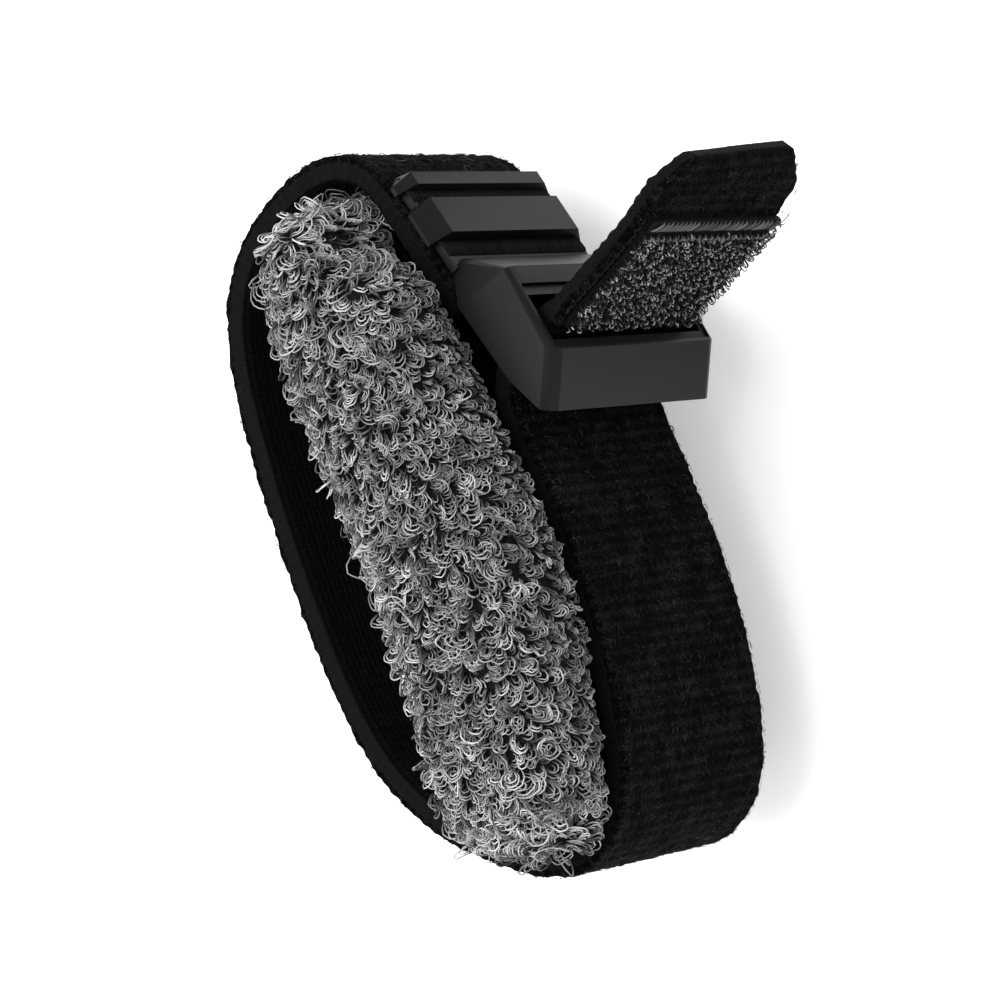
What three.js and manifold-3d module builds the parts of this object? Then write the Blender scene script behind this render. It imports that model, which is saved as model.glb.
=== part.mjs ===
import * as THREE from "three";
import { ConvexGeometry } from "three/addons/geometries/ConvexGeometry.js";
import { mergeVertices } from "three/addons/utils/BufferGeometryUtils.js";
import Module from "manifold-3d";

const wasm = await Module();
wasm.setup();

// Adjustable wristband lying on its side. Millimetres, +Z up along the wrist axis.
// The buckle is at the +X end, the front run of the strap faces -Y.

// Strap: one padded strip, three bonded layers.
const STRAP_W = 24;
const FACE_T = 0.9;
const CORE_T = 1.2;
const LINING_T = 0.6;
const BOND = 0.05;
const STRAP_T = FACE_T + CORE_T + LINING_T + 2 * BOND;

// Outline of the loop, measured on the strap's outer face.
const TOP_X = 39.6;
const BOTTOM_X = -37.2;
const BACK_Y = 19.5;
const FRONT_Y = -16.2;
const PATH_STEP = 1.6;

// Tail that stands out of the slot.
const TAIL_START = 1.3;
const PATCH_LEN = 13.6;
const TIP_LEN = 7.2;
const CUT = 0.3;
const TIP_CHAMFER = 3.4;
const BACK_OPEN = Math.tan((22 * Math.PI) / 180);

// Hook patch on the tail.
const TAPE_T = 0.5;
const HOOK_T = 1.0;
const PATCH_MARGIN = 2.3;
const BORDER_W = 1.3;

// Pad inside the loop.
const PAD_OVERHANG = 9;
const PAD_W = STRAP_W + 2 * PAD_OVERHANG;
const TERRY_T = 2.2;
const BACKING_T = 0.8;
const BACKING_X0 = -28.5;
const BACKING_X1 = 30.5;
const PAD_GAP = 0.6;
const OPENING = 11.3;
const FLAT_TRIM = 2.4;

// Moulded buckle.
const BUCKLE_W = STRAP_W + 3.4;
const RIDGE_BASE_W = STRAP_W + 0.9;
const RIDGE_TOP_W = STRAP_W - 3.2;
const RIDGE_H = 2.0;
const PLATE_T = 0.9;
const SLOT_W = STRAP_W + 0.8;
const SEAT = 0.05;

const MID_Z = PAD_W / 2;

const looks = {
  pile: { color: 0x0b0b0c, roughness: 0.95, metalness: 0 },
  foam: { color: 0x17171a, roughness: 0.85, metalness: 0 },
  knit: { color: 0x0d0d0f, roughness: 0.8, metalness: 0 },
  rubber: { color: 0x1c1c1e, roughness: 0.45, metalness: 0 },
  terry: { color: 0x4a4a4d, roughness: 1, metalness: 0 },
  sponge: { color: 0x9a9a94, roughness: 0.95, metalness: 0 },
  hook: { color: 0x2a2a2c, roughness: 0.6, metalness: 0 },
  border: { color: 0x77787a, roughness: 0.8, metalness: 0 },
  thread: { color: 0x121214, roughness: 0.7, metalness: 0 },
};

const group = new THREE.Group();

function add(name, look, geometry) {
  const mesh = new THREE.Mesh(geometry, new THREE.MeshStandardMaterial(looks[look]));
  mesh.name = name;
  group.add(mesh);
}

// ---- booleans ----

function toManifold(geometry) {
  const bare = geometry.clone();
  bare.deleteAttribute("normal");
  bare.deleteAttribute("uv");
  const merged = mergeVertices(bare, 1e-5);
  const data = {
    numProp: 3,
    vertProperties: new Float32Array(merged.attributes.position.array),
    triVerts: new Uint32Array(merged.index.array),
  };
  return new wasm.Manifold(new wasm.Mesh(data));
}

function toGeometry(manifold) {
  const mesh = manifold.getMesh();
  const geometry = new THREE.BufferGeometry();
  geometry.setAttribute("position", new THREE.BufferAttribute(mesh.vertProperties, 3));
  geometry.setIndex(new THREE.BufferAttribute(mesh.triVerts, 1));
  geometry.computeVertexNormals();
  return geometry;
}

function convex(points) {
  return toManifold(new ConvexGeometry(points.map((p) => new THREE.Vector3(...p))));
}

function slab(outline, zLow, zHigh) {
  const shape = new THREE.Shape(outline.map(([x, y]) => new THREE.Vector2(x, y)));
  const depth = zHigh - zLow;
  const geometry = new THREE.ExtrudeGeometry(shape, { depth, bevelEnabled: false });
  geometry.translate(0, 0, zLow);
  return toManifold(geometry);
}

function block(xLow, xHigh, yLow, yHigh, zLow, zHigh) {
  return slab([[xLow, yLow], [xHigh, yLow], [xHigh, yHigh], [xLow, yHigh]], zLow, zHigh);
}

// ---- the strap's path, from its sewn end under the buckle to the tip of the tail ----

const LAY = 0.3;
const layY = (x) => -13.3 + LAY * (x - 18.7);

// A share of the way across the loop, from the front run to the back run.
const across = (part) => FRONT_Y + part * (BACK_Y - FRONT_Y);

const pathPoints = [
  [18.9, layY(18.9)],
  [25, layY(25)],
  [30, layY(30)],
  [33.2, layY(33.2)],
  [36.7, -7],
  [TOP_X - 0.7, -3.8],
  [TOP_X, 0],
  [TOP_X - 0.8, 5.2],
  [TOP_X - 3.4, BACK_Y - 8.4],
  [TOP_X - 8, BACK_Y - 3.9],
  [TOP_X - 14.6, BACK_Y - 1.3],
  [12, BACK_Y],
  [0, BACK_Y],
  [-12, BACK_Y - 0.9],
  [BOTTOM_X + 16.2, across(0.91)],
  [BOTTOM_X + 9.2, across(0.787)],
  [BOTTOM_X + 4.2, across(0.625)],
  [BOTTOM_X + 0.8, across(0.454)],
  [BOTTOM_X, across(0.319)],
  [BOTTOM_X + 2, across(0.185)],
  [BOTTOM_X + 7, across(0.084)],
  [BOTTOM_X + 14.2, FRONT_Y + 1],
  [-12, FRONT_Y],
  [-2, FRONT_Y + 0.3],
  [5, FRONT_Y + 1],
  [8.4, FRONT_Y + 0.9],
  [10.6, FRONT_Y - 0.4],
  [11.7, FRONT_Y - 2.6],
  [12.5, FRONT_Y - 5.6],
  [14.1, -26.4],
  [15.7, -31],
  [17.4, -35.2],
  [19.2, -38.6],
  [21.4, -41.8],
];

const curve = new THREE.CatmullRomCurve3(
  pathPoints.map(([x, y]) => new THREE.Vector3(x, y, 0)), false, "centripetal");
curve.arcLengthDivisions = 2000;
const PATH_LEN = curve.getLength();

// A station holds a point of the outer face and the unit normal into the strap.
function station(s) {
  const u = Math.min(Math.max(s / PATH_LEN, 0), 1);
  const p = curve.getPointAt(u);
  const t = curve.getTangentAt(u);
  return { s, x: p.x, y: p.y, nx: -t.y, ny: t.x };
}

function stations(s0, s1, step = PATH_STEP) {
  const count = Math.max(1, Math.round((s1 - s0) / step));
  return Array.from({ length: count + 1 }, (_, i) => station(s0 + ((s1 - s0) * i) / count));
}

function pathAtSlotRim() {
  let best = 0;
  for (let s = PATH_LEN - 30; s < PATH_LEN; s += 0.05) {
    if (curve.getPointAt(s / PATH_LEN).y > FRONT_Y - 6.0) best = s;
  }
  return best;
}

// Closed strip between two depths below the outer face, with its own width at each station.
// open slants its first end, so that the strip can bend away from its outer face.
function strip(list, d0, d1, zLow, zHigh, open = 0) {
  const position = [];
  const index = [];
  for (const st of list) {
    const lo = typeof zLow === "function" ? zLow(st.s) : zLow;
    const hi = typeof zHigh === "function" ? zHigh(st.s) : zHigh;
    const k = st === list[0] ? open : 0;
    const a = [st.x + (st.nx + st.ny * k) * d0, st.y + (st.ny - st.nx * k) * d0];
    const b = [st.x + (st.nx + st.ny * k) * d1, st.y + (st.ny - st.nx * k) * d1];
    position.push(...a, lo, ...a, hi, ...b, hi, ...b, lo);
  }
  const quad = (a, b, c, d) => index.push(a, c, b, a, d, c);
  for (let i = 0; i + 1 < list.length; i += 1) {
    const p = 4 * i;
    for (let k = 0; k < 4; k += 1) {
      const m = (k + 1) % 4;
      quad(p + k, p + m, p + 4 + m, p + 4 + k);
    }
  }
  quad(3, 2, 1, 0);
  const e = 4 * (list.length - 1);
  quad(e, e + 1, e + 2, e + 3);
  const geometry = new THREE.BufferGeometry();
  geometry.setAttribute("position", new THREE.Float32BufferAttribute(position, 3));
  geometry.setIndex(index);
  geometry.computeVertexNormals();
  return geometry;
}

const Z0 = MID_Z - STRAP_W / 2;
const Z1 = MID_Z + STRAP_W / 2;

const layers = [
  ["face", "pile", 0, FACE_T],
  ["core", "foam", FACE_T + BOND, FACE_T + BOND + CORE_T],
  ["lining", "knit", FACE_T + CORE_T + 2 * BOND, STRAP_T],
];

const RIM_S = pathAtSlotRim();
const TAIL_S = RIM_S + TAIL_START;
const TIP_S = TAIL_S + CUT + PATCH_LEN;
const END_S = Math.min(TIP_S + CUT + TIP_LEN, PATH_LEN);

const loopStations = stations(0, TAIL_S);
const tailStations = stations(TAIL_S + CUT, TIP_S);
const tipStations = stations(TIP_S + CUT, END_S, 0.9);

const tipCut = (s) => Math.max(0, s - (END_S - TIP_CHAMFER));

for (const [name, look, d0, d1] of layers) {
  add(`strap_${name}`, look, strip(loopStations, d0, d1, Z0, Z1));
  add(`tail_${name}`, look, strip(tailStations, d0, d1, Z0, Z1, BACK_OPEN));
  const tipLow = (s) => Z0 + tipCut(s);
  const tipHigh = (s) => Z1 - tipCut(s);
  add(`tip_${name}`, look, strip(tipStations, d0, d1, tipLow, tipHigh, BACK_OPEN));
}

// ---- hook patch: woven tape, field of hooks, edge band and the stitch line beside it ----

const patchLow = Z0 + 0.1;
const patchHigh = Z1 - PATCH_MARGIN;
const patch0 = TAIL_S + CUT + 0.4;
const patch1 = TIP_S - 0.1;
const patchStations = stations(patch0, patch1);
add("hook_tape", "hook", strip(patchStations, -SEAT - TAPE_T, -SEAT, patchLow, patchHigh));
const hookTop = -2 * SEAT - TAPE_T;
const hookStations = stations(patch0 + 0.1, patch1 - BORDER_W - 0.1);
const hookLow = patchLow + 0.3;
const hookHigh = patchHigh - 0.3;
add("hook_field", "hook", strip(hookStations, hookTop - HOOK_T, hookTop, hookLow, hookHigh));
const borderStations = stations(patch1 - BORDER_W, patch1 - 0.05, 0.6);
add("hook_edge_band", "border", strip(borderStations, hookTop - 0.4, hookTop, patchLow, patchHigh - 0.2));
const sideStations = stations(patch0 + 0.3, patch1 - 0.3);
const sideLow = patchHigh + 0.25;
add("hook_side_stitch", "thread", strip(sideStations, -SEAT - 0.3, -SEAT, sideLow, sideLow + 0.4));

// ---- buckle: ridged sewing plate and slotted block, one moulding ----

const lay = new THREE.Vector2(-1, -LAY).normalize();
const out = new THREE.Vector2(LAY, -1).normalize();
const plateOrigin = new THREE.Vector2(33.9, layY(33.9)).addScaledVector(out, 2 * SEAT);
// Point at s along the plate, n above the strap and z from the strap's centre line.
const onPlate = (s, n, z) => {
  return [plateOrigin.x + lay.x * s + out.x * n, plateOrigin.y + lay.y * s + out.y * n, MID_Z + z];
};

function ridge(s0, s1, height, slant) {
  const points = [];
  const base = RIDGE_BASE_W / 2;
  const top = RIDGE_TOP_W / 2;
  const low = PLATE_T * 0.45;
  for (const side of [-1, 1]) {
    points.push(onPlate(s0 + 1.0, 0, side * base), onPlate(s1 + 0.2, 0, side * base));
    points.push(onPlate(s0 + 1.0, low, side * base), onPlate(s1 + 0.2, low, side * base));
    points.push(onPlate(s0 - 0.2, 0, side * (base - 1.6)), onPlate(s0 - 0.2, low, side * (base - 1.6)));
    points.push(onPlate(s0 + slant, height, side * top), onPlate(s1, height, side * top));
  }
  return convex(points);
}

const RIDGES = [[0.2, 2.0, RIDGE_H - 0.1, 0.25], [3.7, 8.4, RIDGE_H + 0.2, 0.3]];
const PLATE_LEN = 12;

function plate() {
  const w = STRAP_W / 2 - 0.6;
  const points = [];
  for (const side of [-1, 1]) {
    for (const s of [0.4, PLATE_LEN]) {
      points.push(onPlate(s, 0, side * w), onPlate(s, PLATE_T, side * w));
    }
  }
  return convex(points);
}

// Side view of the slotted block.
const REAR_LOW = [24.0, layY(24.0)];
const REAR_TOP = [23.5, layY(23.5) - 1.9];
const CREST = [19.9, FRONT_Y - 4.4];
const RIM_FRONT = [10.3, FRONT_Y - 6.6];
const BAR_FOOT = [5.0, FRONT_Y - 3.7];
const BAR_HEEL = [6.2, FRONT_Y - 2.2];
const WALL_FOOT = [9.6, FRONT_Y - 0.2];
const WALL_REAR = [18.4, layY(18.4) - SEAT];

function corner([x, y], z, dx, dy) {
  const points = [];
  for (const side of [-1, 1]) {
    points.push([x, y, MID_Z + side * (z - 1.3)]);
    points.push([x + dx * 0.3, y + dy * 0.3, MID_Z + side * (z - 0.4)]);
    points.push([x + dx, y + dy, MID_Z + side * z]);
  }
  return points;
}

function buckleBlock() {
  const h = BUCKLE_W / 2;
  const rear = h - 3.6;
  const points = [
    ...corner(BAR_FOOT, h, 0.65, 1.15),
    ...corner(RIM_FRONT, h, 0.65, 1.15),
    ...corner(CREST, h, -0.1, 0.5),
  ];
  for (const side of [-1, 1]) {
    points.push([...BAR_HEEL, MID_Z + side * h], [...WALL_FOOT, MID_Z + side * h]);
    points.push([...WALL_REAR, MID_Z + side * h]);
    points.push([REAR_LOW[0], REAR_LOW[1] - SEAT, MID_Z + side * rear]);
    points.push([...REAR_TOP, MID_Z + side * rear]);
  }
  return convex(points);
}

// Way through the block for the strap, wider than the strap is thick.
const slotOutline = [
  [11.75, FRONT_Y - 8],
  [11.55, FRONT_Y - 5.6],
  [10.6, FRONT_Y - 2.3],
  [9.3, FRONT_Y - 0.6],
  [3, FRONT_Y - 0.1],
  [3, FRONT_Y + 8],
  [17.4, FRONT_Y + 8],
  [16.5, FRONT_Y - 2],
  [17.0, FRONT_Y - 8],
];

// Space taken by the strap's sewn end under the block.
const sewnOutline = [
  [18.4, layY(18.4)],
  [18.4, layY(18.4) + 6],
  [30, layY(30) + 6],
  [30, layY(30)],
].map(([x, y]) => [x, y - SEAT]);

function rimRecess() {
  const margin = 0.9;
  const x0 = 11.55 - margin;
  const x1 = 17.0 + margin;
  const rise = (CREST[1] - RIM_FRONT[1]) / (CREST[0] - RIM_FRONT[0]);
  const rimY = (x) => RIM_FRONT[1] + rise * (x - RIM_FRONT[0]);
  const outline = [[x0, rimY(x0) + 0.45], [x1, rimY(x1) + 0.45], [x1, rimY(x1) - 3], [x0, rimY(x0) - 3]];
  const half = SLOT_W / 2 + 0.55;
  return slab(outline, MID_Z - half, MID_Z + half);
}

let buckle = buckleBlock().add(plate());
for (const [s0, s1, height, slant] of RIDGES) {
  buckle = buckle.add(ridge(s0, s1, height, slant));
}
buckle = buckle.subtract(slab(slotOutline, MID_Z - SLOT_W / 2, MID_Z + SLOT_W / 2));
buckle = buckle.subtract(slab(sewnOutline, MID_Z - SLOT_W / 2, MID_Z + SLOT_W / 2));
buckle = buckle.subtract(rimRecess());
add("buckle_frame", "rubber", toGeometry(buckle));

// Stitch rows that hold the plate, lying in its two grooves.
const grooves = [["buckle_stitch_top", 2.85], ["buckle_stitch_low", 9.35]];
for (const [name, s] of grooves) {
  const points = [];
  for (const z of [-STRAP_W / 2 + 2, STRAP_W / 2 - 2]) {
    points.push(onPlate(s - 0.25, PLATE_T + SEAT, z), onPlate(s + 0.25, PLATE_T + SEAT, z));
    points.push(onPlate(s - 0.15, PLATE_T + 0.35, z), onPlate(s + 0.15, PLATE_T + 0.35, z));
  }
  add(name, "thread", toGeometry(convex(points)));
}

// ---- pad: foam core, terry cover open to the strap, backing cloth, seams ----

// The pad's face towards the front run, a seat's depth behind the strap's outer face.
const seat = STRAP_T + PAD_GAP;
const padBackY = BACK_Y - STRAP_T - OPENING;
const footX = BOTTOM_X + STRAP_T + 0.5;
const headX = TOP_X - STRAP_T - 1.2;
const frontLine = [
  [footX, across(0.297)],
  [footX + 1.3, across(0.235)],
  [footX + 3.9, FRONT_Y + seat + 3.4],
  [footX + 9.9, FRONT_Y + seat + 1.5],
  [-12, FRONT_Y + seat],
  [-2, FRONT_Y + seat + 0.3],
  [6, FRONT_Y + seat + 1],
  [14, FRONT_Y + seat + 1.9],
  [20, layY(20) + seat + 0.2],
  [27, layY(27) + seat + 0.2],
  [headX - 4.6, layY(headX - 4.6) + seat + 0.5],
  [headX - 1.6, layY(headX - 1.6) + seat + 1.9],
  [headX, layY(headX) + seat + 4],
];
const backLine = [
  [footX, across(0.342)],
  [footX + 1.3, across(0.42)],
  [footX + 3.9, across(0.504)],
  [footX + 9.9, across(0.571)],
  [-12, padBackY - 0.3],
  [-2, padBackY],
  [6, padBackY + 0.1],
  [14, padBackY + 0.5],
  [20, padBackY + 1],
  [27, padBackY + 1],
  [headX - 4.6, padBackY - 0.2],
  [headX - 1.6, padBackY - 2.6],
  [headX, padBackY - 5],
];
const lineCurve = (list) => new THREE.CatmullRomCurve3(
  list.map(([x, y]) => new THREE.Vector3(x, y, 0)), false, "centripetal");
const frontCurve = lineCurve(frontLine);
const backCurve = lineCurve(backLine);
const SECTION = 32;
const RINGS = 26;

// Pad section at a share k of its length, drawn in by inset on every side.
function padRing(k, inset) {
  const f = frontCurve.getPointAt(k);
  const b = backCurve.getPointAt(k);
  const t = 2 * k - 1;
  const half = (PAD_W / 2 + FLAT_TRIM) * Math.pow(1 - 0.93 * Math.pow(Math.abs(t), 7), 0.4);
  const cx = (f.x + b.x) / 2;
  const cy = (f.y + b.y) / 2;
  const ux = (b.x - f.x) / 2;
  const uy = (b.y - f.y) / 2;
  const len = Math.hypot(ux, uy);
  const shrink = Math.max(0.15, (len - inset) / len);
  const high = Math.max(1.5, half - inset);
  const pull = (inset * (footX + headX - 2 * cx)) / (headX - footX) * Math.pow(Math.abs(t), 3);
  return Array.from({ length: SECTION }, (_, i) => {
    const a = (2 * Math.PI * i) / SECTION;
    const c = Math.sign(Math.cos(a)) * Math.pow(Math.abs(Math.cos(a)), 2 / 3);
    const s = Math.sign(Math.sin(a)) * Math.pow(Math.abs(Math.sin(a)), 2 / 3);
    return [cx + pull * 2 + ux * shrink * c, cy + uy * shrink * c, MID_Z + high * s];
  });
}

function loft(rings) {
  const position = rings.flat(2);
  const index = [];
  const n = rings[0].length;
  for (let i = 0; i + 1 < rings.length; i += 1) {
    for (let j = 0; j < n; j += 1) {
      const a = i * n + j;
      const b = i * n + ((j + 1) % n);
      index.push(a, b, b + n, a, b + n, a + n);
    }
  }
  const last = (rings.length - 1) * n;
  for (const [at, flip] of [[0, true], [last, false]]) {
    const centre = position.length / 3;
    const ring = rings[at / n];
    const mean = [0, 1, 2].map((c) => ring.reduce((sum, p) => sum + p[c], 0) / n);
    position.push(...mean);
    for (let j = 0; j < n; j += 1) {
      const a = at + j;
      const b = at + ((j + 1) % n);
      index.push(centre, flip ? b : a, flip ? a : b);
    }
  }
  const geometry = new THREE.BufferGeometry();
  geometry.setAttribute("position", new THREE.Float32BufferAttribute(position, 3));
  geometry.setIndex(index);
  return geometry;
}

const share = Array.from({ length: RINGS + 1 }, (_, i) => 0.5 - 0.5 * Math.cos((Math.PI * i) / RINGS));

function padBody(inset) {
  let solid = toManifold(loft(share.map((k) => padRing(k, inset))));
  if (solid.volume() < 0) throw new Error("pad is inside out");
  solid = solid.intersect(block(-60, 60, -60, 60, inset, PAD_W - inset));
  return solid;
}

// Everything on the strap's side of a line that runs depth behind the pad's front.
function frontSide(depth) {
  const outline = frontCurve.getSpacedPoints(40).map((p) => [p.x, p.y + depth]);
  outline.unshift([outline[0][0] - 6, outline[0][1] + 3]);
  outline.push([outline[outline.length - 1][0] + 6, outline[outline.length - 1][1] + 3]);
  outline.push([60, -60], [-60, -60]);
  return slab(outline.reverse(), -5, PAD_W + 5);
}

const padWhole = padBody(0);
const padHollow = padBody(TERRY_T);
const BACKING_W = STRAP_W - 3;
const backingBand = block(-60, 60, -60, 60, MID_Z - BACKING_W / 2, MID_Z + BACKING_W / 2);
const backingHole = block(-60, 60, -60, 60, MID_Z - BACKING_W / 2 - SEAT, MID_Z + BACKING_W / 2 + SEAT);
const span = block(BACKING_X0, BACKING_X1, -60, 60, -5, PAD_W + 5);
const spanHole = block(BACKING_X0 - SEAT, BACKING_X1 + SEAT, -60, 60, -5, PAD_W + 5);
const behind = frontSide(TERRY_T + 1.2);

const cover = padWhole.subtract(padHollow).subtract(behind.intersect(backingHole).intersect(spanHole));
add("pad_terry_cover", "terry", toGeometry(cover));
const core = padBody(TERRY_T + SEAT).subtract(frontSide(TERRY_T + 0.2));
add("pad_foam_core", "sponge", toGeometry(core));
const backing = padWhole.intersect(backingBand).intersect(span).intersect(frontSide(BACKING_T));
add("pad_backing", "knit", toGeometry(backing));

// Thread lines that fix the pad to the strap.
for (const [name, x] of [["pad_fix_stitch_top", 25], ["pad_fix_stitch_mid", -8]]) {
  let best = frontCurve.getPointAt(0);
  for (let i = 0; i <= 400; i += 1) {
    const p = frontCurve.getPointAt(i / 400);
    if (Math.abs(p.x - x) < Math.abs(best.x - x)) best = p;
  }
  const half = BACKING_W / 2 - 1.5;
  add(name, "thread", toGeometry(block(
    best.x - 0.3, best.x + 0.3, best.y - 0.42, best.y - 0.12, MID_Z - half, MID_Z + half)));
}

// ---- centre the frame: box centre over the origin, lowest point on Z = 0 ----

const box = new THREE.Box3();
for (const mesh of group.children) {
  mesh.geometry.computeBoundingBox();
  box.union(mesh.geometry.boundingBox);
}
const shift = box.getCenter(new THREE.Vector3());
for (const mesh of group.children) {
  mesh.geometry.translate(-shift.x, -shift.y, -box.min.z);
}

export default group;
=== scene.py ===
import math

import bmesh
import bpy
import numpy as np
from mathutils import Matrix, Vector


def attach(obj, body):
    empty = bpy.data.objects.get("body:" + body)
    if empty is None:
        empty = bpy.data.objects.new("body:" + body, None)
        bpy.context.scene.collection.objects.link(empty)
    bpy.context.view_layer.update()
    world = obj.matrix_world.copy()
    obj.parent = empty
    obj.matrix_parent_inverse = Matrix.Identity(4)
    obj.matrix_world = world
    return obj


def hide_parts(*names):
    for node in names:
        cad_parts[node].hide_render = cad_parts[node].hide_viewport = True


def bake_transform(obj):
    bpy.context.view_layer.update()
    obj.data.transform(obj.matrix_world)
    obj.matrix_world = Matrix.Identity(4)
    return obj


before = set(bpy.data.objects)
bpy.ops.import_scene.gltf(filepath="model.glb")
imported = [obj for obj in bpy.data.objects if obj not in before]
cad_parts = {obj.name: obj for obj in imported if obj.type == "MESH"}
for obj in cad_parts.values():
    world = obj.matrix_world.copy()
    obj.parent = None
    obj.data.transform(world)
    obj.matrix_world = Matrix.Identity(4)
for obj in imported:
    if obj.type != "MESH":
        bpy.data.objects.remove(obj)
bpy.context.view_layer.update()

MM = 0.001

# ---- sizes of the part, in millimetres, as the CAD model has them ----

STRAP_W = 24.0
STRAP_T = 2.8
TOP_X = 39.6
BOTTOM_X = -37.2
BACK_Y = 19.5
FRONT_Y = -16.2
LAY = 0.3
PATCH_LEN = 13.6
TIP_CHAMFER = 3.4
TIP_OVER = 1.0
MID_Z = 21.0
CENTRE_X = 1.185
CENTRE_Y = -11.084


def lay_y(x):
    """The outer face of the strap under the buckle."""
    return -13.3 + LAY * (x - 18.7)


def across(part):
    """A place between the front of the loop, 0, and its back, 1."""
    return FRONT_Y + part * (BACK_Y - FRONT_Y)


PATH_POINTS = [
    (18.9, lay_y(18.9)), (25, lay_y(25)), (30, lay_y(30)), (33.2, lay_y(33.2)),
    (36.7, -7), (TOP_X - 0.7, -3.8), (TOP_X, 0), (TOP_X - 0.8, 5.2),
    (TOP_X - 3.4, BACK_Y - 8.4), (TOP_X - 8, BACK_Y - 3.9), (TOP_X - 14.6, BACK_Y - 1.3),
    (12, BACK_Y), (0, BACK_Y), (-12, BACK_Y - 0.9),
    (BOTTOM_X + 16.2, across(0.91)), (BOTTOM_X + 9.2, across(0.787)),
    (BOTTOM_X + 4.2, across(0.625)), (BOTTOM_X + 0.8, across(0.454)),
    (BOTTOM_X, across(0.319)), (BOTTOM_X + 2, across(0.185)),
    (BOTTOM_X + 7, across(0.084)), (BOTTOM_X + 14.2, FRONT_Y + 1),
    (-12, FRONT_Y), (-2, FRONT_Y + 0.3), (5, FRONT_Y + 1), (8.4, FRONT_Y + 0.9),
    (10.6, FRONT_Y - 0.4), (11.7, FRONT_Y - 2.6), (12.5, FRONT_Y - 5.6),
    (14.1, -26.4), (15.7, -31), (17.4, -35.2), (19.2, -38.6), (21.4, -41.8),
]


def spline(points, count):
    """Centripetal Catmull-Rom curve through the points, as evenly spaced samples and its length."""
    p = np.array(points, float)
    p = np.vstack([2 * p[0] - p[1], p, 2 * p[-1] - p[-2]])
    dense = []
    for i in range(1, len(p) - 2):
        p0, p1, p2, p3 = p[i - 1:i + 3]
        d0, d1, d2 = (np.linalg.norm(b - a) ** 0.5 for a, b in ((p0, p1), (p1, p2), (p2, p3)))
        t1 = ((p1 - p0) / d0 - (p2 - p0) / (d0 + d1) + (p2 - p1) / d1) * d1
        t2 = ((p2 - p1) / d1 - (p3 - p1) / (d1 + d2) + (p3 - p2) / d2) * d1
        t = np.linspace(0, 1, 60, endpoint=i == len(p) - 3)[:, None]
        c2 = -3 * p1 + 3 * p2 - 2 * t1 - t2
        c3 = 2 * p1 - 2 * p2 + t1 + t2
        dense.append(p1 + t1 * t + c2 * t ** 2 + c3 * t ** 3)
    dense = np.vstack(dense)
    s = np.concatenate([[0], np.cumsum(np.linalg.norm(np.diff(dense, axis=0), axis=1))])
    even = np.linspace(0, s[-1], count)
    return np.stack([np.interp(even, s, dense[:, k]) for k in range(2)], 1), s[-1]


PATH, PATH_LEN = spline(PATH_POINTS, 6000)
TANGENT = np.gradient(PATH, axis=0)
TANGENT /= np.linalg.norm(TANGENT, axis=1)[:, None]


def on_path(s):
    """Points and unit normals into the strap, at distances s along its outer face."""
    at = np.clip(np.asarray(s, float) / PATH_LEN, 0, 1) * (len(PATH) - 1)
    k = np.arange(len(PATH))
    p = np.stack([np.interp(at, k, PATH[:, i]) for i in range(2)], -1)
    t = np.stack([np.interp(at, k, TANGENT[:, i]) for i in range(2)], -1)
    t /= np.linalg.norm(t, axis=-1, keepdims=True)
    past_end = np.maximum(np.asarray(s, float) - PATH_LEN, 0)
    return p + t * past_end[..., None], np.stack([-t[..., 1], t[..., 0]], -1)


def place(s, depth, z):
    """Points s along the strap, depth below its outer face and z off its middle, in the CAD frame."""
    p, n = on_path(s)
    q = p + n * np.asarray(depth)[..., None]
    x = q[..., 0] - CENTRE_X
    y = q[..., 1] - CENTRE_Y
    return np.stack(np.broadcast_arrays(x, y, MID_Z + np.asarray(z, float)), -1)


S_RIM = np.flatnonzero(PATH[:, 1] > FRONT_Y - 6.0)[-1] / (len(PATH) - 1) * PATH_LEN
S_TAIL = S_RIM + 1.3
S_PATCH_END = S_TAIL + 0.3 + PATCH_LEN
S_END = PATH_LEN + TIP_OVER

# ---- mesh helpers ----


def new_object(name, vertices, faces, material=None):
    """A smooth-shaded mesh object from points in millimetres and an array of equal-sided faces."""
    mesh = bpy.data.meshes.new(name)
    faces = np.asarray(faces, np.int32)
    sides = faces.shape[1]
    mesh.vertices.add(len(vertices))
    mesh.vertices.foreach_set("co", (np.asarray(vertices, float) * MM).astype(np.float32).ravel())
    mesh.loops.add(faces.size)
    mesh.loops.foreach_set("vertex_index", faces.ravel())
    mesh.polygons.add(len(faces))
    mesh.polygons.foreach_set("loop_start", np.arange(0, faces.size, sides, dtype=np.int32))
    mesh.update(calc_edges=True)
    mesh.validate()
    mesh.shade_smooth()
    obj = bpy.data.objects.new(name, mesh)
    bpy.context.scene.collection.objects.link(obj)
    if material:
        mesh.materials.append(material)
    return obj


def grid_faces(rows, cols):
    """Quads over a grid of rows by cols points, closed round the columns."""
    i = np.arange(rows - 1)[:, None]
    j = np.arange(cols)[None, :]
    k = (j + 1) % cols
    a = i * cols + j
    b = i * cols + k
    return np.stack([a, b, b + cols, a + cols], -1).reshape(-1, 4)


def point_value(obj, name, values):
    """A number for each vertex that a material can read."""
    attribute = obj.data.attributes.new(name, "FLOAT", "POINT")
    attribute.data.foreach_set("value", np.asarray(values, np.float32).ravel())


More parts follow.
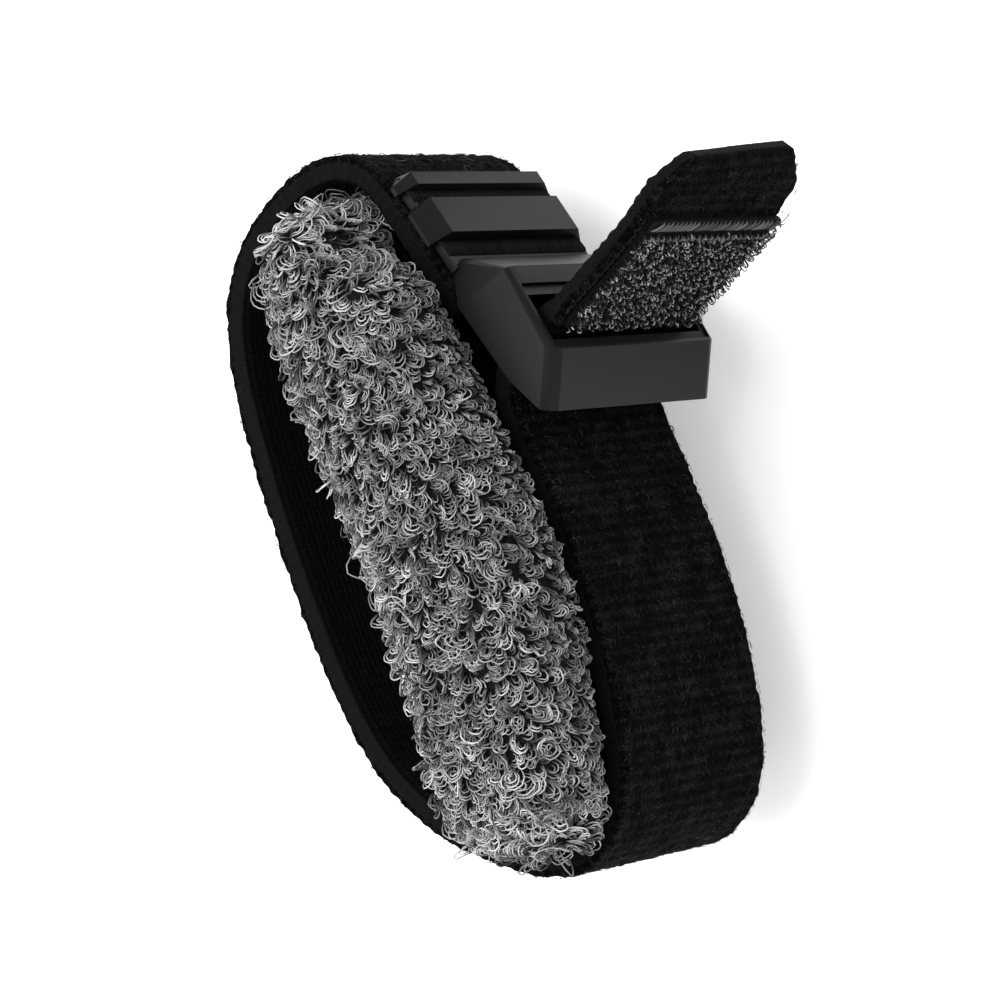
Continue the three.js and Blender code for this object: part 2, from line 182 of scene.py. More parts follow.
def tubes(name, lines, radius, material, sides, shade):
    """Many thin strands in one mesh.

    lines is (count, steps, 3) in millimetres, and shade is one value for each strand or for
    each of its steps.
    """
    lines = np.asarray(lines, float)
    count, steps, _ = lines.shape
    tangent = np.gradient(lines, axis=1)
    tangent /= np.linalg.norm(tangent, axis=2, keepdims=True) + 1e-9
    start = tangent[:, :1, :]
    helper = np.where(np.abs(start[..., 2:3]) < 0.8, [[[0, 0, 1.0]]], [[[1.0, 0, 0]]])
    side = np.cross(tangent, np.broadcast_to(helper, tangent.shape))
    side /= np.linalg.norm(side, axis=2, keepdims=True) + 1e-9
    up = np.cross(side, tangent)
    angle = np.arange(sides) * 2 * math.pi / sides
    r = np.broadcast_to(np.asarray(radius, float).reshape(-1, 1), (count, steps))
    ring = (side[:, :, None, :] * np.cos(angle)[None, None, :, None]
            + up[:, :, None, :] * np.sin(angle)[None, None, :, None])
    points = lines[:, :, None, :] + ring * r[:, :, None, None]
    quads = grid_faces(steps, sides)
    offset = (np.arange(count) * steps * sides)[:, None, None]
    faces = (quads[None] + offset).reshape(-1, 4)
    obj = new_object(name, points.reshape(-1, 3), faces, material)
    shade = np.asarray(shade, float)
    shade = shade[:, None] if shade.ndim == 1 else shade
    point_value(obj, "shade", np.broadcast_to(shade[:, :, None], (count, steps, sides)))
    return obj


# ---- materials ----

TURN = 2 * math.pi
RIB_PITCH = 1.3
KNIT_PITCH = 0.8
KNIT_ROW = 0.6


class Nodes:
    """A short way to write a material's node tree."""

    def __init__(self, name, colour, roughness, **sockets):
        self.material = bpy.data.materials.new(name)
        self.material.use_nodes = True
        self.tree = self.material.node_tree
        self.shader = self.tree.nodes["Principled BSDF"]
        self.shader.inputs["Base Color"].default_value = (*colour, 1)
        self.shader.inputs["Roughness"].default_value = roughness
        for key, value in sockets.items():
            self.shader.inputs[key.replace("_", " ")].default_value = value
        self.coords = self.tree.nodes.new("ShaderNodeTexCoord").outputs["Object"]

    def add(self, kind, **values):
        node = self.tree.nodes.new(kind)
        for key, value in values.items():
            setattr(node, key, value)
        return node

    def link(self, a, b):
        self.tree.links.new(a, b)

    def noise(self, size_mm, detail, rough=0.6):
        """Noise over the object's own coordinates, with features of about the given size."""
        scale = self.add("ShaderNodeMapping")
        scale.inputs["Scale"].default_value = [1 / (size_mm * MM)] * 3
        self.link(self.coords, scale.inputs["Vector"])
        node = self.add("ShaderNodeTexNoise")
        node.inputs["Scale"].default_value = 1.0
        node.inputs["Detail"].default_value = detail
        node.inputs["Roughness"].default_value = rough
        self.link(scale.outputs["Vector"], node.inputs["Vector"])
        return node.outputs["Fac"]

    def attribute(self, name):
        return self.add("ShaderNodeAttribute", attribute_name=name).outputs["Fac"]

    def math(self, operation, a, b):
        node = self.add("ShaderNodeMath", operation=operation)
        for socket, value in zip(node.inputs, (a, b)):
            if isinstance(value, (int, float)):
                socket.default_value = value
            else:
                self.link(value, socket)
        return node.outputs[0]

    def ramp(self, factor, stops):
        """Greys over a factor, from stops given as (position, grey)."""
        node = self.add("ShaderNodeValToRGB")
        ramp = node.color_ramp
        while len(ramp.elements) < len(stops):
            ramp.elements.new(0.5)
        for element, (at, grey) in zip(ramp.elements, stops):
            element.position = at
            element.color = (grey, grey, grey, 1)
        self.link(factor, node.inputs["Fac"])
        return node.outputs["Color"]

    def colour(self, output):
        self.link(output, self.shader.inputs["Base Color"])

    def roughness(self, output):
        self.link(output, self.shader.inputs["Roughness"])

    def bump(self, height, distance_mm):
        node = self.add("ShaderNodeBump")
        node.inputs["Strength"].default_value = 1.0
        node.inputs["Distance"].default_value = distance_mm * MM
        self.link(height, node.inputs["Height"])
        self.link(node.outputs["Normal"], self.shader.inputs["Normal"])


def pile_material():
    """Brushed black loop pile: matted fibres with faint ribs across the strap."""
    n = Nodes("loop_pile", (0.003, 0.003, 0.003), 0.95, Specular_IOR_Level=0.04)
    ribs = n.math("SINE", n.math("MULTIPLY", n.attribute("run"), TURN / RIB_PITCH), 0)
    fluff = n.noise(0.28, 5, 0.9)
    patches = n.noise(3.0, 3)
    uneven = n.math("ADD", fluff, n.math("MULTIPLY", patches, 0.35))
    mix = n.math("ADD", n.math("MULTIPLY", ribs, 0.035), uneven)
    n.colour(n.ramp(mix, [(0.6, 0.0002), (0.69, 0.0016), (0.8, 0.016)]))
    n.bump(mix, 0.35)
    return n.material


def edge_material():
    """Cut edge of the foam core between the two fabrics."""
    n = Nodes("foam_edge", (0.005, 0.005, 0.005), 0.85, Specular_IOR_Level=0.08)
    grain = n.noise(0.22, 3, 0.7)
    n.colour(n.ramp(grain, [(0.35, 0.0008), (0.7, 0.006)]))
    n.bump(grain, 0.15)
    return n.material


def lining_material():
    """Inner knit: fine lines along the strap."""
    n = Nodes("lining_knit", (0.003, 0.003, 0.003), 0.85, Specular_IOR_Level=0.06)
    lines = n.math("SINE", n.math("MULTIPLY", n.attribute("side"), TURN / KNIT_PITCH), 0)
    stitches = n.math("SINE", n.math("MULTIPLY", n.attribute("run"), TURN / KNIT_ROW), 0)
    fluff = n.noise(0.3, 3, 0.7)
    knit = n.math("ADD", fluff, n.math("MULTIPLY", stitches, 0.1))
    mix = n.math("ADD", n.math("MULTIPLY", lines, 0.3), knit)
    n.colour(n.ramp(mix, [(0.2, 0.0006), (0.6, 0.002), (1.0, 0.008)]))
    n.bump(mix, 0.22)
    return n.material


def rubber_material():
    """Satin moulded rubber with a fine spark texture and a faintly cloudy gloss."""
    n = Nodes("buckle_rubber", (0.0055, 0.0055, 0.0055), 0.45, Specular_IOR_Level=0.115)
    cloud = n.noise(9.0, 2)
    n.colour(n.ramp(cloud, [(0.3, 0.0038), (0.7, 0.006)]))
    grain = n.noise(0.12, 2, 0.5)
    polish = n.math("ADD", n.math("MULTIPLY", cloud, 0.5), n.math("MULTIPLY", grain, 0.5))
    n.roughness(n.ramp(polish, [(0.3, 0.38), (0.7, 0.48)]))
    n.bump(grain, 0.012)
    return n.material


def yarn_material(name, dark, pale, roughness, sheen=0.0):
    """Twisted yarn, each strand with its own shade between two greys."""
    n = Nodes(name, (0.2, 0.2, 0.2), roughness, Sheen_Weight=sheen, Sheen_Roughness=0.4,
              Specular_IOR_Level=0.08)
    fibre = n.noise(0.12, 2, 0.6)
    mix = n.math("ADD", n.math("MULTIPLY", n.attribute("shade"), 0.8), n.math("MULTIPLY", fibre, 0.25))
    n.colour(n.ramp(mix, [(0.1, dark), (0.9, pale)]))
    n.bump(fibre, 0.03)
    return n.material


def shaded_ground_material():
    """Near-black cloth under the terry loops, its darkness painted shade for the gaps between the
    loops.
    """
    n = Nodes("terry_ground_painted_shade", (0.006, 0.006, 0.006), 0.95, Specular_IOR_Level=0.05)
    grain = n.noise(0.5, 3, 0.7)
    n.colour(n.ramp(grain, [(0.3, 0.003), (0.7, 0.014)]))
    n.bump(grain, 0.3)
    return n.material


PILE = pile_material()
EDGE = edge_material()
LINING = lining_material()
RUBBER = rubber_material()
TERRY = yarn_material("terry_yarn", 0.006, 0.72, roughness=0.8, sheen=0.05)
SHADED_GROUND = shaded_ground_material()
HOOK = yarn_material("hook_nylon", 0.0015, 0.55, roughness=0.5)
BAND = yarn_material("band_yarn", 0.004, 0.2, roughness=0.75)
THREAD = yarn_material("black_thread", 0.001, 0.006, roughness=0.7)
FUZZ = yarn_material("pile_fuzz", 0.001, 0.11, roughness=0.85)

# ---- shared shape helpers ----


def lattice_noise(u, v, size, seed):
    """Smooth seeded noise between -1 and 1 over two coordinates in millimetres."""
    rng = np.random.default_rng(seed)
    table = rng.uniform(-1, 1, (256, 256))
    a = np.asarray(u, float) / size + 1000
    b = np.asarray(v, float) / size + 1000
    i = np.floor(a).astype(int)
    j = np.floor(b).astype(int)
    f = a - i
    g = b - j
    f = f * f * (3 - 2 * f)
    g = g * g * (3 - 2 * g)
    low = table[i % 256, j % 256] * (1 - f) + table[(i + 1) % 256, j % 256] * f
    high = table[i % 256, (j + 1) % 256] * (1 - f) + table[(i + 1) % 256, (j + 1) % 256] * f
    return low * (1 - g) + high * g


def section(low, high, d0, d1, r, counts):
    """A rounded rectangle in (z, depth) with its outward normals. counts: faces, sides, corners."""
    across_n, side_n, corner_n = counts
    parts = []

    def run(z_a, d_a, z_b, d_b, n, normal):
        t = np.linspace(0, 1, n, endpoint=False)
        parts.append(np.stack([z_a + (z_b - z_a) * t, d_a + (d_b - d_a) * t,
                               np.full(n, normal[0]), np.full(n, normal[1])], 1))

    def corner(z_c, d_c, start):
        angle = start + np.linspace(0, math.pi / 2, corner_n, endpoint=False)
        c, s = np.cos(angle), np.sin(angle)
        parts.append(np.stack([z_c + r * c, d_c + r * s, c, s], 1))

    run(low + r, d0, high - r, d0, across_n, (0, -1))
    corner(high - r, d0 + r, -math.pi / 2)
    run(high, d0 + r, high, d1 - r, side_n, (1, 0))
    corner(high - r, d1 - r, 0)
    run(high - r, d1, low + r, d1, across_n, (0, 1))
    corner(low + r, d1 - r, math.pi / 2)
    run(low, d1 - r, low, d0 + r, side_n, (-1, 0))
    corner(low + r, d0 + r, math.pi)
    return np.vstack(parts)


def pile_height(s, z):
    """How far the pile stands out: ribs across the strap, tufts and soft unevenness."""
    wander = lattice_noise(s, z, 4.0, 11) * 0.35
    ribs = 0.03 * np.sin((s + wander) * TURN / RIB_PITCH)
    return ribs + 0.12 * lattice_noise(s, z, 0.5, 12) + 0.08 * lattice_noise(s, z, 1.3, 13)


def no_skew(s, z):
    return 0.0 * z


def close_ends(mesh, rows, cols):
    """Caps the first and last ring of a tube of rings."""
    bm = bmesh.new()
    bm.from_mesh(mesh)
    bm.verts.ensure_lookup_table()
    for start, flip in ((0, False), ((rows - 1) * cols, True)):
        ring = [bm.verts[start + i] for i in range(cols)]
        bm.faces.new(ring[::-1] if flip else ring)
    bmesh.ops.recalc_face_normals(bm, faces=bm.faces)
    bm.to_mesh(mesh)
    bm.free()


def strip(name, s0, s1, low, high, top, under, r, counts, step, height, materials, pick=None,
          round_end=0.0, skew=no_skew):
    """A strap-like piece along the path, with closed ends.

    low, high, top and under give its edges and its faces at s, and height its relief. pick
    says which material shows at a point of its section.
    """
    stations = np.linspace(s0, s1, max(3, int(round((s1 - s0) / step)) + 1))
    rings = []
    runs = []
    sides = []
    for s in stations:
        ring = section(low(s), high(s), top(s), under(s), r, counts)
        inset = 0.0
        if round_end > 0 and s1 - s < round_end:
            along = 1 - (s1 - s) / round_end
            inset = round_end * (1 - math.sqrt(max(0.0, 1 - along ** 2))) * 0.8
        out = height(np.full(len(ring), s), ring[:, 0], ring[:, 3]) - inset
        z = ring[:, 0] + ring[:, 2] * out
        d = ring[:, 1] + ring[:, 3] * out
        rings.append(place(s + skew(s, z), d, z))
        runs.append(np.full(len(ring), s))
        sides.append(ring[:, 0])
    rows, cols = len(stations), len(rings[0])
    obj = new_object(name, np.vstack(rings), grid_faces(rows, cols))
    mesh = obj.data
    close_ends(mesh, rows, cols)
    for material in materials:
        mesh.materials.append(material)
    if pick is not None:
        first = section(low(s0), high(s0), 0.0, under(s0) - top(s0), r, counts)
        index = np.ones(len(mesh.polygons), np.int32)
        index[:(rows - 1) * cols] = np.tile([pick(q) for q in first], rows - 1)
        mesh.polygons.foreach_set("material_index", index)
    mesh.shade_smooth()
    point_value(obj, "run", np.concatenate(runs))
    point_value(obj, "side", np.concatenate(sides))
    return obj


HALF = STRAP_W / 2
LAYERS = (PILE, EDGE, LINING)


def layer_of(q):
    """Which of LAYERS shows at a point of the strap's section."""
    depth = q[1]
    if depth < 0.75:
        return 0
    return 1 if depth < STRAP_T - 0.45 else 2


def smooth(x):
    x = np.clip(x, 0, 1)
    return x * x * (3 - 2 * x)


TAIL_SQUEEZE = 0.4
TAIL_TOOTH = 1.5


def tail_top(s):
    """Depth of the outer face: the free tail is pressed a little thinner than the loop."""
    return TAIL_SQUEEZE * float(smooth((s - S_RIM) / 2.5))


def tail_under(s):
    return STRAP_T - TAIL_SQUEEZE * float(smooth((s - S_RIM) / 2.5))


def tail_skew(s, z):
    """The pull tip is cut a little out of square."""
    return -0.085 * z * float(smooth((s - S_PATCH_END) / (S_END - S_PATCH_END)))


def strap_height(s, z, nd):
    """Relief of the strap: pile outside, knit inside, and a cut edge that is rougher on the tail."""
    run = s + 0.3 * lattice_noise(s, z * 0.1, 2.0, 17)
    edge = 0.05 * lattice_noise(s, nd * 3, 0.7, 15)
    edge = edge + 0.05 * np.sin(run * TURN / RIB_PITCH)
    edge = edge + 0.07 * lattice_noise(s, z * 0.2, 0.9, 18)
    teeth = 0.09 * np.sin(run * TURN / TAIL_TOOTH) + 0.08 * lattice_noise(s, z * 0.2, 0.8, 19)
    edge = edge + smooth((s - S_RIM) / 3) * teeth
    inner = 0.035 * np.sin(z * TURN / KNIT_PITCH) + 0.05 * lattice_noise(s, z, 0.6, 16) + 0.6 * edge
    facing_out = nd < -0.3
    facing_in = nd > 0.6
    return np.where(facing_out, pile_height(s, z), np.where(facing_in, inner, edge))


def tip_cut(s):
    """How much narrower the strap gets on each side towards its clipped end."""
    soft = 0.6
    q = s - (S_END - TIP_CHAMFER - soft)
    return 0.0 if q <= 0 else 0.5 * (q + math.sqrt(q * q + soft) - math.sqrt(soft))


def tail_trim(s):
    """The free tail is cut slightly narrower on its lower side."""
    return 0.8 * float(smooth((s - S_RIM) / 5))


def strap_low(s):
    return -HALF + tip_cut(s) + tail_trim(s)


def strap_high(s):
    return HALF - tip_cut(s)


def strap_piece(name, s0, s1, **more):
    """One stretch of the strap with its three layers."""
    return strip(name, s0, s1, strap_low, strap_high, tail_top, tail_under, 0.55, (46, 8, 5), 0.33,
                 strap_height, materials=LAYERS, pick=layer_of, skew=tail_skew, **more)


S_CUT = S_RIM - 4.0
S_MIDDLE = S_TAIL + 7.5
FOLD_START = place(S_RIM - 1.0, 1.4, 0.0) * MM
FOLD_END = place(S_RIM + 2.6, 1.4, 0.0) * MM
FLEX_START = place(S_PATCH_END - 0.9, 1.4, 0.0) * MM
FLEX_END = place(S_PATCH_END + 1.9, 1.4, 0.0) * MM


def fold(obj):
    """Bakes the placement into the mesh of cloth that crosses the buckle's rim, where the free tail
    folds.
    """
    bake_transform(obj)


def flex(obj):
    """Bakes the placement into the mesh of cloth that crosses the end of the hook patch, where the pull
    tip flexes.
    """
    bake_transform(obj)


def fibres(name, count, s0, s1, seed, shade, edges=0.3, length=(0.3, 1.1), curl=1.6, radius=0.02):
    """Loose fibres lying on the pile, and a share of them poking out past its edges."""
    rng = np.random.default_rng(seed)
    steps = 6
    s = rng.uniform(s0, s1, count)
    z = rng.uniform(-HALF, HALF, count)
    at_edge = rng.random(count) < edges
    z = np.where(at_edge, np.sign(z) * (HALF - rng.uniform(0, 0.5, count)), z)
    heading = rng.uniform(0, 2 * math.pi, count)
    turn = rng.normal(0, curl, count)
    size = rng.uniform(*length, count) * np.where(at_edge, 0.45, 1.0)
    t = np.linspace(0, 1, steps)
    angle = heading[:, None] + turn[:, None] * t[None]
    step = (size / steps)[:, None]
    ds = np.cumsum(np.cos(angle) * step, 1)
    dz = np.cumsum(np.sin(angle) * step, 1)
    zz = z[:, None] + dz
    over = rng.uniform(0.0, 0.22, count)[:, None] * at_edge[:, None]
    lowest = np.array([strap_low(v) for v in s])[:, None]
    highest = np.array([strap_high(v) for v in s])[:, None]
    zz = np.clip(zz, lowest - over, highest + over)
    rise = 0.14 * rng.uniform(0.4, 1.2, count)[:, None] * np.sin(t * math.pi)[None] + 0.06
    ss = np.clip(s[:, None] + ds, s0, s1 + 0.6)
    under = np.array([tail_top(v) for v in s])[:, None]
    sink = 0.5 * np.clip(np.abs(zz) - HALF + 0.3, 0, 1)
    lines = place(ss, under - rise + sink, zz)
    value = np.clip(rng.gamma(1.2, shade, count), 0, 1)
    return tubes(name, lines, radius, FUZZ, 3, value)


def make_strap():
    """The strap in three pieces, cut away from its bends, and the loose fibres on it."""
    loop = strap_piece("strap_band", 0.0, S_CUT)
    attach(loop, "band")
    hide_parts("strap_face", "strap_core", "strap_lining")
    fuzz = fibres("strap_fuzz", 5200, 13.0, S_RIM - 6, 21, 0.12, edges=0.25)
    lint = fibres("strap_lint", 160, 16.0, 46.0, 24, 0.3, edges=0.0, length=(1.2, 3.2), curl=3.5,
                  radius=0.024)
    for piece in (fuzz, lint):
        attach(piece, "band")

    lower = strap_piece("tail_strap", S_CUT, S_MIDDLE)
    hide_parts("tail_face", "tail_core", "tail_lining")
    fold(lower)
    upper = strap_piece("tail_tip_strap", S_MIDDLE, S_END, round_end=0.7)
    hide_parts("tip_face", "tip_core", "tip_lining")
    flex(upper)
    for name, s0, s1, join, seed in (("tail_fuzz", S_RIM + 1, S_MIDDLE, fold, 22),
                                     ("tip_fuzz", S_MIDDLE, S_END - 1.0, flex, 23)):
        piece = fibres(name, 420, s0, s1, seed, 0.12)
        join(piece)


# ---- hook patch ----

PATCH_LOW = -HALF + 0.9
PATCH_HIGH = HALF - 0.9
PATCH_S0 = S_RIM + 0.5
PATCH_S1 = S_PATCH_END - 0.1
BORDER_W = 1.3
HOOK_ROW = 0.5
HOOK_COLUMN = 0.46


def tape_height(s, z, nd):
    """Relief of the woven tape."""
    return 0.05 * lattice_noise(s, z, 0.4, 31)


def tape_top(s):
    return tail_top(s) - 0.35


def tape_under(s):
    return tail_top(s) + 0.05


def patch_low(s):
    return PATCH_LOW


def patch_high(s):
    return PATCH_HIGH


def band_high(s):
    return PATCH_HIGH - 0.2


def band_top(s):
    return -0.25


def band_under(s):
    return 0.1


def make_hooks():
    """The woven tape and its field of bent hooks, each turned its own way."""
    tape = strip("hook_tape_weave", PATCH_S0, PATCH_S1, patch_low, patch_high, tape_top, tape_under,
                 0.14, (60, 2, 3), 0.3, tape_height, materials=(THREAD,))
    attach(tape, "tail")
    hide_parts("hook_tape")

    rng = np.random.default_rng(32)
    rows = np.arange(PATCH_S0 + 0.2, PATCH_S1 - BORDER_W - 0.6, HOOK_ROW)
    columns = np.arange(PATCH_LOW + 0.1, PATCH_HIGH - 0.05, HOOK_COLUMN)
    s, z = np.meshgrid(rows, columns)
    s = s.ravel() + rng.normal(0, 0.11, s.size)
    z = z.ravel() + rng.normal(0, 0.11, z.size)
    heading = rng.uniform(0, 2 * math.pi, s.size)
    tall = rng.uniform(0.6, 0.95, s.size)
    forward = np.array([0.0, 0.0, 0.05, 0.2, 0.38, 0.46])
    upward = np.array([0.0, 0.45, 0.75, 0.92, 0.82, 0.55])
    ss = s[:, None] + np.cos(heading)[:, None] * forward[None]
    zz = z[:, None] + np.sin(heading)[:, None] * forward[None]
    under = np.array([tape_top(v) for v in s])[:, None]
    lines = place(ss, under - tall[:, None] * upward[None], zz)
    # Painted highlight on the top of each hook's arc and painted shade down its stem; the random beta
    # value is each hook's own tone.
    glint = np.array([0.0, 0.0, 0.15, 1.0, 1.0, 0.3])
    value = rng.beta(0.45, 0.95, s.size)[:, None] * glint[None]
    hooks = tubes("hook_field_hooks", lines, rng.uniform(0.055, 0.085, s.size), HOOK, 3, value)
    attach(hooks, "tail")
    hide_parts("hook_field")


def satin_row(name, s_mid, width, slant, pitch, radius, rise, base, shade, seed):
    """A row of slanting stitches across the tail, each one a raised strand."""
    rng = np.random.default_rng(seed)
    z0 = np.arange(PATCH_LOW + max(0.0, -slant), PATCH_HIGH - max(0.0, slant), pitch)
    t = np.linspace(-0.5, 0.5, 8)
    s = s_mid + width * t[None] + rng.normal(0, 0.03, len(z0))[:, None]
    z = z0[:, None] + slant * (t[None] + 0.5) + rng.normal(0, 0.03, len(z0))[:, None]
    lift = base + rise * (1 - (2 * t[None]) ** 4) * rng.uniform(0.85, 1.1, len(z0))[:, None]
    # Painted shade: each stitch darkens towards its ends, where it dips into the tape.
    shaded_ends = 0.1 + 0.9 * (1 - (2 * t[None]) ** 4)
    value = np.clip(rng.normal(shade, 0.18, len(z0)), 0, 1)[:, None] * shaded_ends
    return tubes(name, place(s, -lift, z), radius, BAND, 6, value)


def frayed_ends():
    """Loose yarn ends that stand out past the patch's cut side."""
    rng = np.random.default_rng(43)
    count = 26
    s = rng.uniform(PATCH_S1 - 5.0, PATCH_S1 - 0.1, count)
    t = np.linspace(0, 1, 7)
    reach = rng.uniform(0.5, 1.5, count)[:, None]
    z = PATCH_LOW + 0.7 - reach * t[None]
    ss = s[:, None] + rng.normal(0, 0.7, count)[:, None] * t[None] ** 2
    lift = 0.2 + rng.uniform(-0.2, 0.4, count)[:, None] * t[None] + 0.2 * np.sin(t * math.pi)[None]
    shade = rng.uniform(0.2, 0.8, count)
    return tubes("edge_band_frayed_ends", place(ss, -lift, z), 0.06, BAND, 3, shade)


def side_stitches():
    """The row of stitches that holds the patch along its other side."""
    t = np.linspace(0, 1, 7)
    start = np.arange(PATCH_S0 + 0.4, PATCH_S1 - 0.4, 0.9)
    s = start[:, None] + 0.7 * t[None]
    lift = 0.12 * np.sin(t * math.pi)[None] - 0.35 + 0 * s
    line = place(s, -lift, PATCH_HIGH + 0.42 + 0 * s)
    return tubes("hook_side_stitches", line, 0.12, THREAD, 6, np.full(len(start), 0.5))


def make_edge_band():
    """The woven edge of the patch, the dotted row beside it, and the stitches that hold the patch."""
    core = strip("edge_band_core", PATCH_S1 - BORDER_W, PATCH_S1, patch_low, band_high, band_top,
                 band_under, 0.12, (40, 2, 3), 0.3, tape_height, materials=(THREAD,))
    stitches = satin_row("edge_band_stitches", PATCH_S1 - 0.6, width=1.05, slant=-1.5, pitch=0.74,
                         radius=0.125, rise=0.3, base=0.14, shade=0.5, seed=41)
    dots = satin_row("edge_band_dots", PATCH_S1 - BORDER_W - 0.55, width=0.4, slant=-0.3, pitch=1.0,
                     radius=0.12, rise=0.3, base=0.45, shade=0.55, seed=42)
    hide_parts("hook_edge_band")
    for piece in (core, stitches, dots, frayed_ends()):
        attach(piece, "tail")
    side = side_stitches()
    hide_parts("hook_side_stitch")
    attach(side, "tail")


# ---- buckle ----

PLATE_TOP = 0.95
PLATE_X = 33.9
EDGE_ROUND = 0.65
STITCH_PITCH = 0.2


def copy_of(node, name):
    """A new object with a copy of a CAD node's mesh."""
    mesh = bpy.data.objects[node].data.copy()
    mesh.name = name
    mesh.materials.clear()
    obj = bpy.data.objects.new(name, mesh)
    bpy.context.scene.collection.objects.link(obj)
    return obj


def make_buckle():
    """The CAD moulding with its edges rounded, and the two rows of stitches in its grooves."""
    obj = copy_of("buckle_frame", "buckle_moulding")
    obj.data.materials.append(RUBBER)
    bm = bmesh.new()
    bm.from_mesh(obj.data)
    bmesh.ops.remove_doubles(bm, verts=bm.verts, dist=0.02 * MM)
    bmesh.ops.dissolve_limit(bm, angle_limit=math.radians(1.5), verts=bm.verts, edges=bm.edges)
    bm.to_mesh(obj.data)
    bm.free()
    bevel = obj.modifiers.new("rounded_edges", "BEVEL")
    bevel.width = EDGE_ROUND * MM
    bevel.segments = 3
    bevel.limit_method = "ANGLE"
    bevel.angle_limit = math.radians(22)
    bevel.use_clamp_overlap = True
    bevel.harden_normals = True
    obj.data.shade_smooth()
    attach(obj, "band")
    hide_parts("buckle_frame")
    groove_stitches("buckle_stitch_top", s_mid=2.85, reach=0.62)
    groove_stitches("buckle_stitch_low", s_mid=9.5, reach=0.85)


def groove_stitches(node, s_mid, reach):
    """A dense black zigzag that fills one groove of the sewing plate and holds it to the strap."""
    lay = np.array([-1.0, -LAY]) / math.hypot(LAY, 1)
    out = np.array([LAY, -1.0]) / math.hypot(LAY, 1)
    origin = np.array([PLATE_X - CENTRE_X, lay_y(PLATE_X) - CENTRE_Y])
    z0 = np.arange(-HALF + 0.7, HALF - 0.7, STITCH_PITCH)
    t = np.linspace(-1, 1, 7)
    swap = np.where(np.arange(len(z0)) % 2, 1, -1)[:, None]
    s = s_mid + reach * t[None] * swap
    height = PLATE_TOP + 0.22 * (1 - t[None] ** 4) + 0.04 * swap
    spot = origin + s[..., None] * lay + height[..., None] * out
    z = MID_Z + z0[:, None] + STITCH_PITCH * (t[None] + 1)
    shade = np.random.default_rng(61).uniform(0.1, 0.9, len(z0))
    row = tubes(node + "_thread", np.dstack([spot, z]), 0.17, THREAD, 6, shade)
    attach(row, "band")
    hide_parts(node)


# ---- terry pad ----

LOOP_ROOM = 0.9
VOXEL = 1.3
SWELL_PRESSURE = 3.0
SWELL_CAP = 0.6
SWELL_FRAMES = 16
LOOP_SPACING = 0.86
LOOP_TALL = 1.75
LOOP_WIDE = 1.5
LOOP_STEPS = 11
PLIES = 3
YARN_RADIUS = 0.08
STRAYS = 14
FLOOR_GAP = 0.13
FACES_PER_PIECE = 150000


def depth_in_loop(x, y):
    """How far points lie inside the loop's outer face, and the way inwards there."""
    step = 12
    near = PATH[::step] - [CENTRE_X, CENTRE_Y]
    inward = np.stack([-TANGENT[::step, 1], TANGENT[::step, 0]], 1)
    keep = np.arange(len(near)) * step < (S_RIM - 8) / PATH_LEN * len(PATH)
    near, inward = near[keep], inward[keep]
    gap = np.hypot(x[:, None] - near[:, 0][None], y[:, None] - near[:, 1][None])
    best = np.argmin(gap, axis=1)
    offset = np.stack([x, y], 1) - near[best]
    return (offset * inward[best]).sum(1), inward[best]


def sculpt_pad(co, normal):
    """Swells the pad where it stands clear of the strap's near rim, and draws it in at the far one."""
    x, y, z = (co[:, k] / MM for k in range(3))
    over = smooth((z - MID_Z - HALF + 0.4) / 1.5)
    far = smooth((MID_Z - HALF + 1.5 - z) / 5)
    toward_strap = smooth(0.35 - normal[:, 1])
    top = smooth((x - 18) / 10)
    bottom = 0.6 * smooth((-x - 19) / 13)
    bulge = 3.2 * np.maximum(toward_strap, bottom) * (1 - top)
    swell = over * (0.3 + bulge - 0.6 * top) - 0.9 * far * toward_strap
    crown = np.clip(1 - ((y - 8.0) / 9.0) ** 2, 0, 1) * (z > MID_Z)
    moved = co.copy()
    moved[:, :2] += normal[:, :2] * swell[:, None] * MM
    moved[:, 2] += 1.2 * crown * over * MM
    moved[:, 1] += 0.4 * np.sin(x / 5.5) * over * MM
    depth, inward = depth_in_loop(moved[:, 0] / MM, moved[:, 1] / MM)
    moved[:, :2] += inward * (np.clip(0.9 - depth, 0, 4) * over)[:, None] * MM
    return moved


def outer_shell(obj):
    """Keeps only the largest connected surface of a mesh."""
    bm = bmesh.new()
    bm.from_mesh(obj.data)
    bmesh.ops.remove_doubles(bm, verts=bm.verts, dist=0.01 * MM)
    left = set(bm.verts)
    groups = []
    while left:
        group = {left.pop()}
        edge = list(group)
        while edge:
            vertex = edge.pop()
            for link in vertex.link_edges:
                other = link.other_vert(vertex)
                if other not in group:
                    group.add(other)
                    edge.append(other)
        left -= group
        groups.append(group)
    keep = max(groups, key=lambda g: max(v.co.x for v in g) - min(v.co.x for v in g))
    bmesh.ops.delete(bm, geom=[v for v in bm.verts if v not in keep], context="VERTS")
    bmesh.ops.recalc_face_normals(bm, faces=bm.faces)
    bm.to_mesh(obj.data)
    bm.free()


def positions(mesh):
    co = np.zeros(len(mesh.vertices) * 3, np.float32)
    mesh.vertices.foreach_get("co", co)
    return co.reshape(-1, 3).astype(float)


def normals(mesh):
    no = np.zeros(len(mesh.vertices) * 3, np.float32)
    mesh.vertices.foreach_get("normal", no)
    return no.reshape(-1, 3).astype(float)


def set_positions(mesh, co):
    mesh.vertices.foreach_set("co", np.asarray(co, np.float32).ravel())
    mesh.update()


def bake(obj):
    """Puts the evaluated mesh in place of the modifiers."""
    graph = bpy.context.evaluated_depsgraph_get()
    mesh = bpy.data.meshes.new_from_object(obj.evaluated_get(graph))
    obj.modifiers.clear()
    obj.data = mesh


